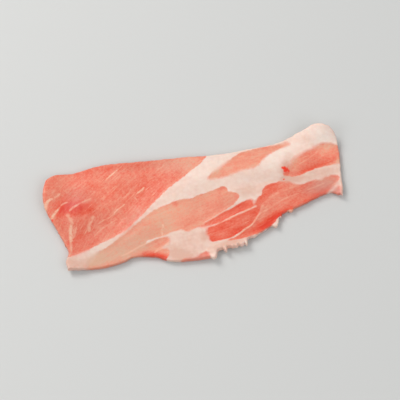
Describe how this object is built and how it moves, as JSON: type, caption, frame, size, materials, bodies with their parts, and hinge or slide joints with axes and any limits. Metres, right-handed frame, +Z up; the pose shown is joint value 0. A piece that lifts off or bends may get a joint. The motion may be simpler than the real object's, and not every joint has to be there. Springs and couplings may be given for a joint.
{
  "type": "sliced pork shoulder",
  "caption": "Thin raw slice of pork shoulder lying flat: lean muscles parted by white fat seams, with low swells, a turned-up back corner and a ragged fat fringe on the front edge.",
  "frame": {"origin": "on the resting plane, under the middle of the slice's bounding box", "axes": "+X along the slice's length, +Y from the ragged front edge to the even back edge, +Z up out of the shown face"},
  "size_m": [0.1474, 0.0612, 0.0087],
  "materials": {
    "raw_pork": "moist raw meat: salmon-red lean and cream-pink fat with a soft wet sheen"
  },
  "bodies": {
    "root": {"pork_slice": "raw_pork"}
  },
  "joints": []
}
